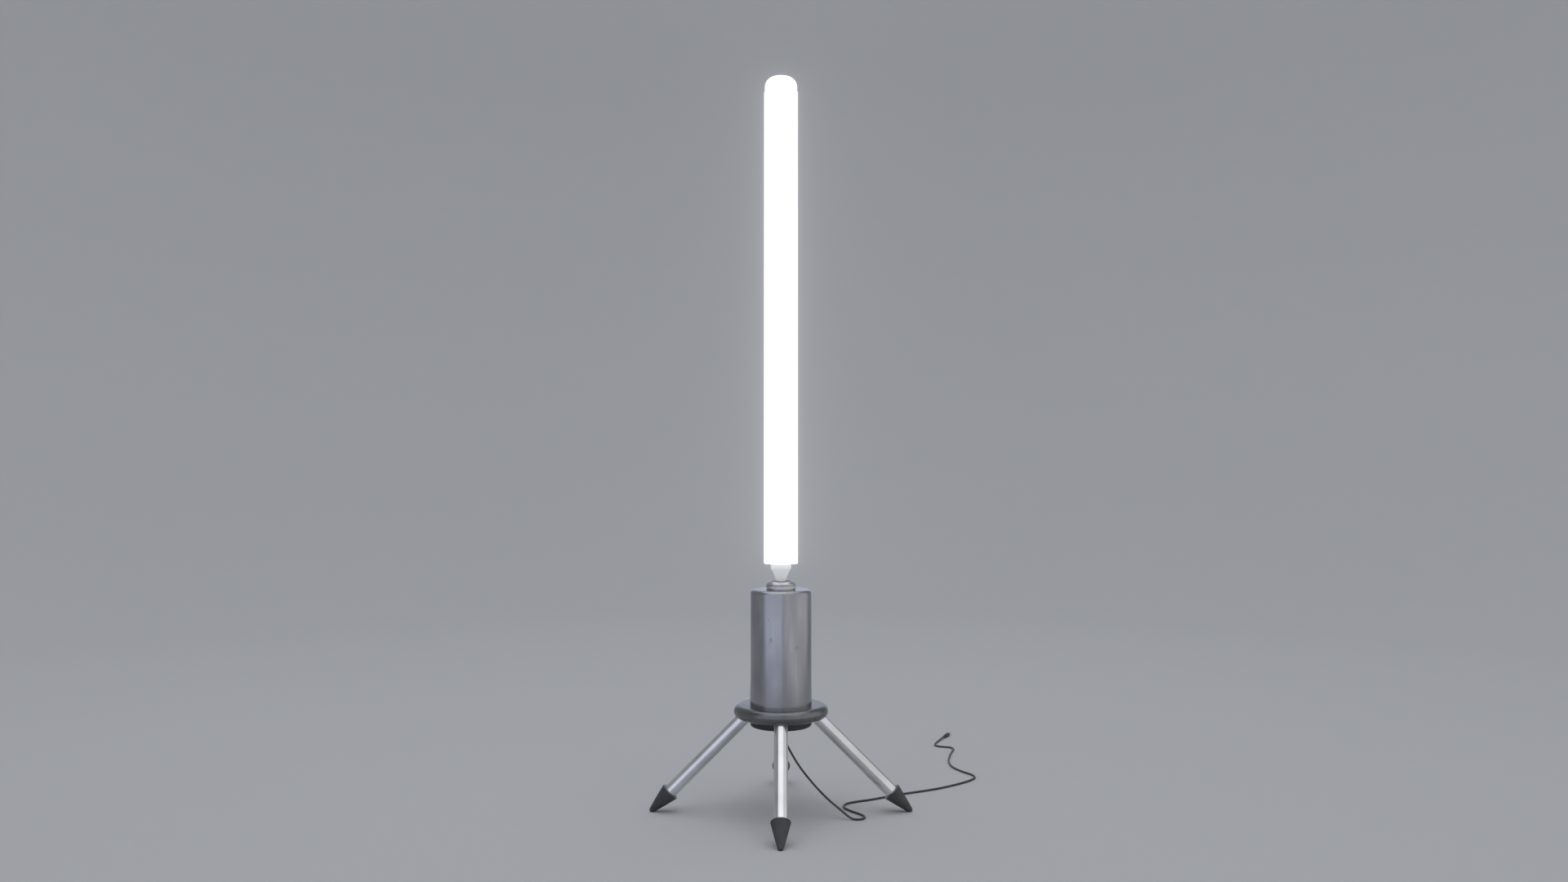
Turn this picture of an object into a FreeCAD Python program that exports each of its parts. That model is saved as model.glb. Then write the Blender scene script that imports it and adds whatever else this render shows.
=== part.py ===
import FreeCAD, Part
import math
import os
import re

import Sketcher

# An LED light tube that stands upright in a steel canister on four splayed legs.
# Millimetres. +Z is up, the tube stands on the Z axis, and the feet stand on Z = 0.
# -Y is the front. The push button is at the back, and the lead runs off to the right.

SIZES = {
    # stand
    "foot_reach": 159.0,  # radius at which a leg's axis meets the floor
    "leg_tilt": 45.0,  # degrees between a leg and the vertical
    "leg_radius": 8.3,
    "leg_wall": 2.0,
    "leg_length": 136.6,
    "foot_length": 34.5,
    "foot_radius": 11.3,
    "foot_tip": 3.2,
    "stud_radius": 4.0,
    "ring_radius": 57.5,
    "ring_bottom": 114.5,
    "ring_top": 130.5,
    "ring_bore": 14.0,
    "hub_radius": 37.5,
    "hub_bottom": 104.0,
    "hub_wall": 3.0,
    # canister
    "can_radius": 37.6,
    "can_top": 270.0,
    "can_wall": 2.4,
    "can_roof": 3.0,
    "can_round": 5.0,
    "ballast_height": 16.0,
    "bolt_circle": 29.0,
    "bolt_radius": 2.0,
    "hub_circle": 20.0,
    # socket and its lock ring
    "collar_radius": 18.0,
    "collar_bevel": 2.8,
    "collar_top": 279.8,
    "socket_neck": 11.0,
    "socket_bottom": 236.0,
    "stem_radius": 4.5,
    "stem_bottom": 252.0,
    # light tube
    "tube_radius": 20.6,
    "tube_wall": 1.6,
    "tube_bottom": 301.6,
    "tube_top": 880.0,
    "dome_radius": 19.7,
    "dome_top": 899.5,
    "dome_round": 12.0,
    "funnel_radius": 12.5,
    "funnel_tip": 5.4,
    "spine_width": 14.0,
    "strip_width": 10.0,
    "chip_width": 5.0,
    # push button
    "button_height": 165.0,
    "button_radius": 4.5,
    "bezel_radius": 8.0,
    # lead
    "cord_radius": 1.3,
    "lead_x": 4.0,
    "lead_y": -1.8,
    "relief_bottom": 94.0,
    "plug_radius": 2.7,
    "barrel_radius": 1.75,
    "barrel_length": 9.5,
    # gaps
    "slip": 0.1,  # between pieces that are fixed to each other
    "run": 0.08,  # radial running clearance of a fit that moves
    "free": 0.3,  # between pieces that pass each other
}

AZIMUTHS = {"right": 0, "back": 90, "left": 180, "front": 270}
DIAGONALS = [45, 135, 225, 315]
CHIPS_PER_STRIP = 24

# The free lead, from its strain relief down to the floor, round a tight turn and away to its plug.
CORD_ROUTE = [
    (4.0, -1.8, 94.0),
    (4.0, -1.8, 88.0),
    (9.8, -4.4, 76.5),
    (21.8, -9.8, 57.0),
    (38.4, -17.2, 38.0),
    (55.6, -25.0, 21.6),
    (72.5, -32.5, 9.5),
    (83.5, -37.4, 1.3),
    (92.0, -40.4, 1.3),
    (99.5, -35.5, 1.3),
    (100.5, -26.3, 1.3),
    (95.0, -16.0, 1.3),
    (84.5, -2.5, 1.3),
    (76.0, 14.0, 1.3),
    (79.0, 29.0, 1.3),
    (91.0, 39.5, 1.3),
    (111.0, 48.5, 1.3),
    (135.0, 65.0, 1.3),
    (157.0, 79.0, 1.3),
    (181.0, 91.5, 1.3),
    (206.0, 106.0, 1.3),
    (228.0, 124.0, 1.3),
    (246.0, 140.5, 1.3),
    (261.0, 160.0, 1.3),
    (261.0, 177.0, 1.3),
    (247.0, 199.0, 1.3),
    (237.0, 226.0, 1.3),
    (237.0, 258.0, 1.3),
    (243.0, 290.0, 1.3),
    (250.0, 318.5, 1.3),
    (256.5, 339.0, 1.3),
    (250.5, 349.5, 1.3),
    (238.0, 352.0, 1.3),
    (230.0, 360.5, 1.3),
    (232.0, 374.0, 1.3),
    (239.0, 391.0, 1.3),
    (246.2, 405.6, 2.7),
    (250.6, 415.0, 2.7),
]
ARC_SHARE = 0.45  # an arc takes this share of the shorter run beside it

doc = FreeCAD.newDocument("led_light_tube")
sheet = doc.addObject("Spreadsheet::Sheet", "sizes")
subparts = {}


def fill_sheet():
    for row, (name, size) in enumerate(SIZES.items(), start=1):
        sheet.set(f"A{row}", name)
        sheet.set(f"B{row}", str(size))
        sheet.setAlias(f"B{row}", name)
    doc.recompute()


ALIAS = re.compile(r"\b(" + "|".join(SIZES) + r")\b")


def bound(text):
    """An expression in the sheet's aliases, as the document reads it."""
    return ALIAS.sub(r"sizes.\1", text)


def value(text):
    """The number that such an expression stands for."""
    return float(sheet.evalExpression(bound(text)))


def bind(item, **expressions):
    """Drives properties from the sheet, and returns the item."""
    for name, text in expressions.items():
        item.setExpression(name, bound(text))
    return item


def keep(label, item):
    """Names a finished sub-part."""
    item.Label = label
    subparts[label] = item
    return item


# ---------------------------------------------------------------- places


def polar(azimuth, radius="0", height="0", across="0", tilt="0"):
    """A place at a radius and height, seen from an azimuth, turned to face outwards and then tilted."""
    turn = f"placement(vector(0; 0; 0); rotation(vector(0; 0; 1); {azimuth}))"
    shift = f"placement(vector({radius}; {across}; {height}); rotation(vector(0; 1; 0); {tilt}))"
    return f"{turn} * {shift}"


def on_leg(azimuth, along="0"):
    """A place on a leg's axis, measured from the floor, with local Z running up and inwards along the leg."""
    slide = f"placement(vector(0; 0; {along}); rotation(vector(0; 0; 1); 0))"
    return polar(azimuth, radius="foot_reach", tilt="-leg_tilt") + f" * {slide}"


def facing_back(depth, height="button_height"):
    """A place on the button's axis, with local Z pointing out of the canister's back."""
    return f"placement(vector(0; {depth}; {height}); rotation(vector(1; 0; 0); -90))"


def over_lead(height="0"):
    """A place on the upright axis that the lead follows inside the stand."""
    return f"placement(vector(lead_x; lead_y; {height}); rotation(vector(0; 0; 1); 0))"


def along_plug(distance):
    """A place on the plug's axis, with local Z pointing out of the plug's mouth."""
    end = FreeCAD.Vector(*CORD_ROUTE[-1])
    before = FreeCAD.Vector(*CORD_ROUTE[-2])
    heading = math.degrees(math.atan2(end.y - before.y, end.x - before.x))
    turn = f"placement(vector({end.x}; {end.y}; {end.z}); rotation(vector(0; 0; 1); {heading}))"
    return f"{turn} * placement(vector({distance}; 0; 0); rotation(vector(0; 1; 0); 90))"


# ---------------------------------------------------------------- ways of making a piece


def origin_plane(body, role):
    return [item for item in body.Origin.OriginFeatures if item.Role == role][0]


def outline(body, name, plane_role, corners):
    """A closed sketch of straight sides, every corner bound to the sheet."""
    sketch = body.newObject("Sketcher::SketchObject", name)
    sketch.AttachmentSupport = [(origin_plane(body, plane_role), "")]
    sketch.MapMode = "FlatFace"
    points = [FreeCAD.Vector(value(across), value(up), 0) for across, up in corners]
    count = len(points)
    for index in range(count):
        side = Part.LineSegment(points[index], points[(index + 1) % count])
        sketch.addGeometry(side, False)
    for index in range(count):
        sketch.addConstraint(Sketcher.Constraint("Coincident", index, 2, (index + 1) % count, 1))
    for index, (across, up) in enumerate(corners):
        fix_corner(sketch, index, "DistanceX", -2, across)
        fix_corner(sketch, index, "DistanceY", -1, up)
    return sketch


def fix_corner(sketch, index, direction, axis, text):
    size = value(text)
    if abs(size) < 1e-9:
        sketch.addConstraint(Sketcher.Constraint("PointOnObject", index, 1, axis))
        return
    number = sketch.addConstraint(Sketcher.Constraint(direction, -1, 1, index, 1, size))
    sketch.setExpression(f"Constraints[{number}]", bound(text))


def round_edges(body, feature, rounds):
    """Fillets the circular edges found at each given radius and height."""
    for number, (radius, height, size) in enumerate(rounds, start=1):
        doc.recompute()
        names = []
        for index, edge in enumerate(feature.Shape.Edges, start=1):
            circle = edge.Curve
            if not isinstance(circle, Part.Circle):
                continue
            if abs(circle.Radius - value(radius)) < 0.01 and abs(circle.Center.z - value(height)) < 0.01:
                names.append(f"Edge{index}")
        fillet = body.newObject("PartDesign::Fillet", f"{body.Name}_round{number}")
        fillet.Base = (feature, names)
        bind(fillet, Radius=size)
        feature = fillet
    return feature


def turned(name, corners, rounds=()):
    """A body of revolution about its own Z axis, from (radius, height) corners."""
    body = doc.addObject("PartDesign::Body", name)
    profile = outline(body, f"{name}_profile", "XZ_Plane", corners)
    turn = body.newObject("PartDesign::Revolution", f"{name}_turn")
    turn.Profile = profile
    turn.ReferenceAxis = (profile, ["V_Axis"])
    turn.Angle = 360
    doc.recompute()
    round_edges(body, turn, rounds)
    return body


def tubular(name, outer, inner, bottom, top):
    """A plain sleeve, ring or washer."""
    return turned(name, [(inner, bottom), (outer, bottom), (outer, top), (inner, top)])


def extruded(name, corners, length, bottom):
    """A body with a constant section, from (x, y) corners, standing at a height."""
    body = doc.addObject("PartDesign::Body", name)
    profile = outline(body, f"{name}_section", "XY_Plane", corners)
    pad = body.newObject("PartDesign::Pad", f"{name}_pad")
    pad.Profile = profile
    bind(pad, Length=length)
    bind(body, Placement=f"placement(vector(0; 0; {bottom}); rotation(vector(0; 0; 1); 0))")
    doc.recompute()
    return body


def rod(name, radius, length, place):
    return bind(doc.addObject("Part::Cylinder", name), Radius=radius, Height=length, Placement=place)


def block(name, low, high, azimuth=0):
    """A box between two corners, given as expressions, turned about Z by an azimuth."""
    sides = [f"({end}) - ({start})" for start, end in zip(low, high)]
    item = doc.addObject("Part::Box", name)
    place = polar(azimuth, radius=low[0], across=low[1], height=low[2])
    return bind(item, Length=sides[0], Width=sides[1], Height=sides[2], Placement=place)


def joined(name, *items):
    item = doc.addObject("Part::MultiFuse", name)
    item.Shapes = list(items)
    return item


def cut(name, base, *tools):
    """The base less its tools, which must take something away."""
    tool = tools[0] if len(tools) == 1 else joined(f"{name}_tools", *tools)
    item = doc.addObject("Part::Cut", name)
    item.Base = base
    item.Tool = tool
    doc.recompute()
    if item.Shape.Volume > base.Shape.Volume - 1e-3:
        raise RuntimeError(f"{name}: the cut took nothing away")
    return item


def group(name, items):
    """Identical pieces that share one sub-part, as separate solids."""
    item = doc.addObject("Part::Compound", name)
    item.Links = list(items)
    return item


HEAD_WIDTH = 1.75  # a cap screw's head radius over its thread radius
HEAD_HEIGHT = 1.2  # a cap screw's head height over its thread radius
SOCKET_WIDTH = 0.95  # its hexagon's corner radius over its thread radius
SOCKET_DEPTH = 0.8


def cap_screw(name, radius, length, place):
    """A cap screw whose head hangs below the given place and whose shank runs up from it."""
    below = f"({radius}) * {HEAD_HEIGHT}"
    head_place = f"{place} * placement(vector(0; 0; -({below})); rotation(vector(0; 0; 1); 0))"
    head = rod(f"{name}_head", f"({radius}) * {HEAD_WIDTH}", below, head_place)
    shank = rod(f"{name}_shank", radius, length, place)
    hexagon = doc.addObject("Part::Prism", f"{name}_hexagon")
    hexagon.Polygon = 6
    bind(hexagon, Circumradius=f"({radius}) * {SOCKET_WIDTH}", Height=f"({radius}) * {SOCKET_DEPTH}")
    bind(hexagon, Placement=head_place)
    return cut(name, joined(f"{name}_form", head, shank), hexagon)


# ---------------------------------------------------------------- legs and feet


def make_leg(side, azimuth):
    name = f"leg_{side}"
    leg = tubular(name, "leg_radius", "leg_radius - leg_wall", "foot_length", "foot_length + leg_length")
    keep(name, bind(leg, Placement=on_leg(azimuth)))


def make_foot(side, azimuth):
    """A rubber cone on the leg's end, its spigot inside the leg and its tip worn flat on the floor."""
    name = f"foot_{side}"
    spigot = "leg_radius - leg_wall - slip"
    corners = [
        ("0", "0"),
        ("foot_tip", "0"),
        ("foot_radius", "foot_length - 1"),
        ("foot_radius", "foot_length"),
        (spigot, "foot_length"),
        (spigot, "foot_length + 14"),
        ("0", "foot_length + 14"),
    ]
    form = turned(f"{name}_form", corners, [("foot_tip", "0", "foot_tip - 0.4")])
    bind(form, Placement=on_leg(azimuth))
    floor = block(
        f"{name}_floor", ("foot_reach - 20", "-20", "-10"), ("foot_reach + 20", "20", "0"), azimuth
    )
    keep(name, cut(name, form, floor))


STUD_GRIP = "16"  # how far a stud's root reaches down inside its leg
STUD_REACH = "7.6"  # how far its thread reaches into the leg ring


def make_leg_studs():
    studs = []
    for side, azimuth in AZIMUTHS.items():
        seat = "foot_length + leg_length"
        root_place = on_leg(azimuth, f"{seat} - {STUD_GRIP}")
        root = rod(f"stud_root_{side}", "leg_radius - leg_wall - slip", STUD_GRIP, root_place)
        thread = rod(f"stud_thread_{side}", "stud_radius", STUD_REACH, on_leg(azimuth, seat))
        studs.append(joined(f"stud_{side}", root, thread))
    keep("leg_studs", group("leg_studs", studs))


def leg_hole(name, azimuth, gap):
    """The space that a leg takes up, a little wider than the leg itself."""
    return rod(name, f"leg_radius + {gap}", "leg_length", on_leg(azimuth, "foot_length"))


# ---------------------------------------------------------------- leg ring and hub cover


TIE_HEAD_DEPTH = "bolt_radius * 1.2 + 0.6"  # counterbore in the ring's underside
HUB_HEAD_DEPTH = "bolt_radius * 1.2 + 0.4"  # counterbore in the hub cover's floor
HUB_SCREW_LENGTH = "16"
GLAND_RADIUS = "3.2"  # the strain relief's bush, through the hub cover's floor


def make_leg_ring():
    """The round-edged ring that the legs screw into."""
    corners = [
        ("ring_bore", "ring_bottom"),
        ("ring_radius", "ring_bottom"),
        ("ring_radius", "ring_top"),
        ("ring_bore", "ring_top"),
    ]
    full_round = "(ring_top - ring_bottom) / 2 - 0.1"
    rounds = [
        ("ring_radius", "ring_bottom", full_round),
        ("ring_radius", "ring_top", full_round),
    ]
    form = turned("leg_ring_form", corners, rounds)
    tools = []
    for side, azimuth in AZIMUTHS.items():
        tools.append(leg_hole(f"ring_leg_hole_{side}", azimuth, "slip"))
        seat = on_leg(azimuth, "foot_length + leg_length - 1")
        tools.append(rod(f"ring_stud_hole_{side}", "stud_radius + slip", f"{STUD_REACH} + 1.3", seat))
    for azimuth in DIAGONALS:
        hole = polar(azimuth, "bolt_circle", "ring_bottom - 1")
        tools.append(rod(f"ring_tie_hole_{azimuth}", "bolt_radius + slip", "20", hole))
        sink = f"bolt_radius * {HEAD_WIDTH} + 0.3"
        tools.append(rod(f"ring_tie_sink_{azimuth}", sink, f"{TIE_HEAD_DEPTH} + 1", hole))
        blind = polar(azimuth, "hub_circle", "ring_bottom - 1")
        tools.append(rod(f"ring_hub_hole_{azimuth}", "bolt_radius + slip", "11", blind))
    keep("leg_ring", cut("leg_ring", form, *tools))


def make_hub_cover():
    """A shallow cup under the ring, with a boss for each screw and a notch for each leg."""
    inner = "hub_radius - hub_wall"
    corners = [
        ("0", "hub_bottom"),
        ("hub_radius", "hub_bottom"),
        ("hub_radius", "ring_bottom"),
        (inner, "ring_bottom"),
        (inner, "hub_bottom + hub_wall"),
        ("0", "hub_bottom + hub_wall"),
    ]
    cup = turned("hub_cup", corners, [("hub_radius", "hub_bottom", "hub_wall")])
    floor = "hub_bottom + hub_wall"
    bosses = []
    tools = []
    for azimuth in DIAGONALS:
        place = polar(azimuth, "hub_circle", floor)
        bosses.append(rod(f"hub_boss_{azimuth}", "bolt_radius * 2.5", f"ring_bottom - ({floor})", place))
        hole = polar(azimuth, "hub_circle", "hub_bottom - 1")
        tools.append(rod(f"hub_hole_{azimuth}", "bolt_radius + slip", "20", hole))
        sink = f"bolt_radius * {HEAD_WIDTH} + 0.2"
        tools.append(rod(f"hub_sink_{azimuth}", sink, f"{HUB_HEAD_DEPTH} + 1", hole))
    for side, azimuth in AZIMUTHS.items():
        tools.append(leg_hole(f"hub_leg_notch_{side}", azimuth, "slip"))
    gland = over_lead("hub_bottom - 1")
    tools.append(rod("hub_gland_hole", f"{GLAND_RADIUS} + slip", "8", gland))
    form = joined("hub_form", cup, *bosses)
    keep("hub_cover", cut("hub_cover", form, *tools))


def make_hub_screws():
    screws = []
    for azimuth in DIAGONALS:
        place = polar(azimuth, "hub_circle", f"hub_bottom + {HUB_HEAD_DEPTH}")
        screws.append(cap_screw(f"hub_screw_{azimuth}", "bolt_radius", HUB_SCREW_LENGTH, place))
    keep("hub_screws", group("hub_screws", screws))


def make_tie_bolts():
    """Long bolts that clamp ring, ballast and canister together, out of sight under the hub cover."""
    bolts = []
    seat = f"ring_bottom + {TIE_HEAD_DEPTH}"
    for azimuth in DIAGONALS:
        place = polar(azimuth, "bolt_circle", seat)
        length = f"can_top - can_roof - 3 - ({seat})"
        bolts.append(cap_screw(f"tie_bolt_{azimuth}", "bolt_radius", length, place))
    keep("tie_bolts", group("tie_bolts", bolts))


# ---------------------------------------------------------------- canister


SOCKET_SCREW_AZIMUTHS = [90, 210, 330]
SOCKET_SCREW_CIRCLE = "15.4"
BEZEL_SEAT = "can_radius - 0.9"  # depth of the flat milled in the canister's back


def make_canister_shell():
    """A deep can, open below, with a boss for each tie bolt under its roof and a flat for the button."""
    inner = "can_radius - can_wall"
    ceiling = "can_top - can_roof"
    corners = [
        (inner, "ring_top"),
        ("can_radius", "ring_top"),
        ("can_radius", "can_top"),
        ("socket_neck + slip", "can_top"),
        ("socket_neck + slip", ceiling),
        (inner, ceiling),
    ]
    rounds = [("can_radius", "can_top", "can_round"), (inner, ceiling, "can_round - can_wall")]
    can = turned("can_form", corners, rounds)
    bosses = []
    tools = []
    for azimuth in DIAGONALS:
        place = polar(azimuth, "bolt_circle", f"{ceiling} - 14")
        bosses.append(rod(f"can_boss_{azimuth}", "bolt_radius * 2", "15", place))
        place = polar(azimuth, "bolt_circle", f"{ceiling} - 15")
        tools.append(rod(f"can_boss_hole_{azimuth}", "bolt_radius + slip", "12", place))
    for azimuth in SOCKET_SCREW_AZIMUTHS:
        place = polar(azimuth, SOCKET_SCREW_CIRCLE, f"{ceiling} - 1")
        tools.append(rod(f"can_socket_hole_{azimuth}", "1.5 + slip", "3.2", place))
    tools.append(rod("button_flat", "bezel_radius + 0.2", "10", facing_back(BEZEL_SEAT)))
    tools.append(rod("button_hole", "bezel_radius - 2 + slip", "20", facing_back(f"{BEZEL_SEAT} - 10")))
    keep("canister_shell", cut("canister_shell", joined("can_with_bosses", can, *bosses), *tools))


def make_ballast_weight():
    """A steel disc that keeps the tall lamp steady."""
    top = "ring_top + ballast_height"
    disc = tubular("ballast_disc", "can_radius - can_wall - slip", "12", "ring_top", top)
    holes = []
    for azimuth in DIAGONALS:
        place = polar(azimuth, "bolt_circle", "ring_top - 1")
        holes.append(rod(f"ballast_hole_{azimuth}", "bolt_radius + slip", "ballast_height + 2", place))
    holes += bracket_screw_holes("ballast", "ring_top + ballast_height - 7", "8")
    keep("ballast_weight", cut("ballast_weight", disc, *holes))


# ---------------------------------------------------------------- driver inside the canister


BOARD_FACE = "-4.4"  # the board stands upright, its parts on its +X face
BOARD_BACK = "-6"
BOARD_LOW = "ring_top + ballast_height + 4"
BOARD_HIGH = "socket_bottom - 10"
BRACKET_SPANS = {"near": ("-27", "-21"), "far": ("7", "13")}
BRACKET_SCREW_X = "-13"
BRACKET_SCREW_HEIGHT = "ring_top + ballast_height + 9"
SMALL_SCREW = "1.5"


def bracket_middle(side):
    low, high = BRACKET_SPANS[side]
    return f"({low} + {high}) / 2"


def bracket_screw_holes(prefix, bottom, length):
    """One upright hole for each bracket's foot screw."""
    holes = []
    for side in BRACKET_SPANS:
        place = polar(0, BRACKET_SCREW_X, bottom, across=bracket_middle(side))
        holes.append(rod(f"{prefix}_{side}_hole", f"{SMALL_SCREW} + slip", length, place))
    return holes


def board_screw_place(side, depth):
    """On the axis of the screw that holds the board to a bracket, with local Z along +X."""
    return polar(0, depth, BRACKET_SCREW_HEIGHT, across=bracket_middle(side), tilt="90")


def make_driver_board():
    board = block("board_blank", (BOARD_BACK, "-28", BOARD_LOW), (BOARD_FACE, "14", BOARD_HIGH))
    holes = []
    for side in BRACKET_SPANS:
        holes.append(rod(f"board_{side}_hole", f"{SMALL_SCREW} + slip", "6", board_screw_place(side, "-8")))
    keep("driver_board", cut("driver_board", board, *holes))


def make_board_brackets():
    """Two angle brackets between the board and the ballast."""
    brackets = []
    floor = "ring_top + ballast_height"
    for side, (low, high) in BRACKET_SPANS.items():
        upright = block(f"bracket_upright_{side}", ("-8", low, floor), (BOARD_BACK, high, f"{floor} + 15"))
        foot = block(f"bracket_foot_{side}", ("-17", low, floor), ("-8", high, f"{floor} + 2"))
        across = rod(f"bracket_hole_{side}", f"{SMALL_SCREW} + slip", "6", board_screw_place(side, "-9"))
        place = polar(0, BRACKET_SCREW_X, f"{floor} - 1", across=bracket_middle(side))
        down = rod(f"bracket_foot_hole_{side}", f"{SMALL_SCREW} + slip", "6", place)
        brackets.append(cut(f"bracket_{side}", joined(f"bracket_form_{side}", upright, foot), across, down))
    keep("board_brackets", group("board_brackets", brackets))


def make_board_screws():
    """Two screws through the board and two down into the ballast."""
    screws = []
    flip = " * placement(vector(0; 0; 0); rotation(vector(1; 0; 0); 180))"
    for side in BRACKET_SPANS:
        across = board_screw_place(side, BOARD_FACE) + flip
        screws.append(cap_screw(f"board_screw_{side}", SMALL_SCREW, "3.6", across))
        down = polar(0, BRACKET_SCREW_X, "ring_top + ballast_height + 2", across=bracket_middle(side)) + flip
        screws.append(cap_screw(f"bracket_screw_{side}", SMALL_SCREW, "8", down))
    keep("board_screws", group("board_screws", screws))


def make_transformer():
    """A ferrite core wrapped round its winding."""
    base = f"{BOARD_LOW} + 12"
    core = block("core_blank", (BOARD_FACE, "-18", base), ("14", "6", f"{base} + 22"))
    window = block("core_window", ("0", "-19", f"{base} + 5"), ("10", "7", f"{base} + 17"))
    winding = block("winding", ("0", "-21", f"{base} + 5"), ("10", "9", f"{base} + 17"))
    keep("transformer", joined("transformer", cut("core", core, window), winding))


CAPACITOR_SPOTS = {"lower": ("-15", "50"), "middle": ("1", "50"), "upper": ("-7", "66")}


def make_capacitors():
    cans = []
    for name, (across, up) in CAPACITOR_SPOTS.items():
        place = polar(0, BOARD_FACE, f"{BOARD_LOW} + {up} - 6", across=across, tilt="90")
        cans.append(rod(f"capacitor_{name}", "6.5", "18", place))
    keep("capacitors", group("capacitors", cans))


FIN_COUNT = 5
FIN_PITCH = 5.0
FIN_THICKNESS = 1.6
FIN_DEPTH = 12.0
SINK_WEB = 3.0


def make_heat_sink():
    """A comb of upright fins on the board's back."""
    back = float(BOARD_BACK)
    low = -13.0
    corners = [(back, low), (back, low + (FIN_COUNT - 1) * FIN_PITCH + FIN_THICKNESS)]
    for fin in reversed(range(FIN_COUNT)):
        side = low + fin * FIN_PITCH
        root = back - SINK_WEB
        tip = root - FIN_DEPTH
        corners.extend([(tip, side + FIN_THICKNESS), (tip, side)])
        if fin > 0:
            corners.extend([(root, side), (root, side - FIN_PITCH + FIN_THICKNESS)])
    section = [(str(across), str(up)) for across, up in corners]
    keep("heat_sink", extruded("heat_sink", section, "48", f"{BOARD_LOW} + 20"))


def make_terminal_block():
    """A screw terminal for the lead, hollowed from above for its two screws."""
    body = block("terminal_blank", (BOARD_FACE, "-8", BOARD_LOW), ("8", "6", f"{BOARD_LOW} + 9"))
    wells = []
    for across in ("-4.5", "2.5"):
        place = polar(0, "2.5", f"{BOARD_LOW} + 5", across=across)
        wells.append(rod(f"terminal_well_{len(wells)}", "2", "6", place))
    keep("terminal_block", cut("terminal_block", body, *wells))


def make_socket_wires():
    wires = []
    for across in ("-9", "3"):
        place = polar(0, "-5.2", BOARD_HIGH, across=across)
        wires.append(rod(f"socket_wire_{len(wires)}", "0.8", f"socket_bottom - ({BOARD_HIGH})", place))
    keep("socket_wires", group("socket_wires", wires))


# ---------------------------------------------------------------- socket and lock ring


SHOULDER_HEIGHT = "4"
SLEEVE_OUTER = "stem_radius + run + 1.1"
SLEEVE_BOTTOM = "stem_bottom - 2"
SNAP_LOW = "collar_top - 1.5"
SNAP_HIGH = "collar_top - 0.8"
WASHER_HEIGHT = "0.6"


def make_socket_body():
    """The insulating body that hangs under the roof, its neck standing through it."""
    ceiling = "can_top - can_roof"
    shoulder = f"{ceiling} - {SHOULDER_HEIGHT}"
    groove = "socket_neck - 0.4"
    seat = f"{SLEEVE_OUTER} + slip / 2"
    corners = [
        ("1.4", "socket_bottom"),
        ("socket_neck", "socket_bottom"),
        ("socket_neck", shoulder),
        ("socket_neck + 7.5", shoulder),
        ("socket_neck + 7.5", ceiling),
        ("socket_neck", ceiling),
        ("socket_neck", f"{SNAP_LOW} - 0.05"),
        (groove, f"{SNAP_LOW} - 0.05"),
        (groove, f"{SNAP_HIGH} + 0.05"),
        ("socket_neck", f"{SNAP_HIGH} + 0.05"),
        ("socket_neck", "collar_top - 0.3"),
        (seat, "collar_top - 0.3"),
        (seat, SLEEVE_BOTTOM),
        ("1.4", SLEEVE_BOTTOM),
    ]
    form = turned("socket_form", corners)
    holes = []
    for azimuth in SOCKET_SCREW_AZIMUTHS:
        place = polar(azimuth, SOCKET_SCREW_CIRCLE, f"{shoulder} - 1")
        holes.append(rod(f"socket_hole_{azimuth}", f"{SMALL_SCREW} + slip", "6", place))
    keep("socket_body", cut("socket_body", form, *holes))


def make_socket_sleeve():
    """The brass sleeve that the lamp's stem slides into."""
    sleeve = tubular("socket_sleeve", SLEEVE_OUTER, "stem_radius + run", SLEEVE_BOTTOM, "collar_top - 1")
    keep("socket_sleeve", sleeve)


def make_socket_contact():
    """The centre contact, a headed pin through the socket's floor."""
    corners = [
        ("0", "socket_bottom - 4"),
        ("1.3", "socket_bottom - 4"),
        ("1.3", SLEEVE_BOTTOM),
        ("3", SLEEVE_BOTTOM),
        ("3", f"{SLEEVE_BOTTOM} + 1"),
        ("0", f"{SLEEVE_BOTTOM} + 1"),
    ]
    keep("socket_contact", turned("socket_contact", corners))


def make_socket_screws():
    screws = []
    for azimuth in SOCKET_SCREW_AZIMUTHS:
        place = polar(azimuth, SOCKET_SCREW_CIRCLE, f"can_top - can_roof - {SHOULDER_HEIGHT}")
        screws.append(cap_screw(f"socket_screw_{azimuth}", SMALL_SCREW, "5.8", place))
    keep("socket_screws", group("socket_screws", screws))


def make_lock_ring():
    """The bevelled collar that turns on the socket's neck and grips the lamp's stem."""
    bore = "socket_neck + run"
    recess = "socket_neck + 1.6"
    low = f"can_top + {WASHER_HEIGHT} + free"
    corners = [
        (bore, low),
        ("collar_radius", low),
        ("collar_radius", "collar_top - collar_bevel"),
        ("collar_radius - collar_bevel", "collar_top"),
        (recess, "collar_top"),
        (recess, f"{SNAP_LOW} - free"),
        (bore, f"{SNAP_LOW} - free"),
    ]
    keep("lock_ring", turned("lock_ring", corners))


def make_ring_washer():
    washer = tubular(
        "ring_washer", "collar_radius - 1", "socket_neck + slip", "can_top", f"can_top + {WASHER_HEIGHT}"
    )
    keep("ring_washer", washer)


def make_snap_ring():
    """The split ring in the neck's groove that keeps the lock ring on."""
    ring = tubular("snap_ring_form", "socket_neck + 1.2", "socket_neck - 0.35", SNAP_LOW, SNAP_HIGH)
    gap = block(
        "snap_ring_gap", ("0", "-1.5", f"{SNAP_LOW} - 1"), ("socket_neck + 3", "1.5", f"{SNAP_HIGH} + 1"), 90
    )
    keep("snap_ring", cut("snap_ring", ring, gap))


# ---------------------------------------------------------------- light tube


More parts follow.
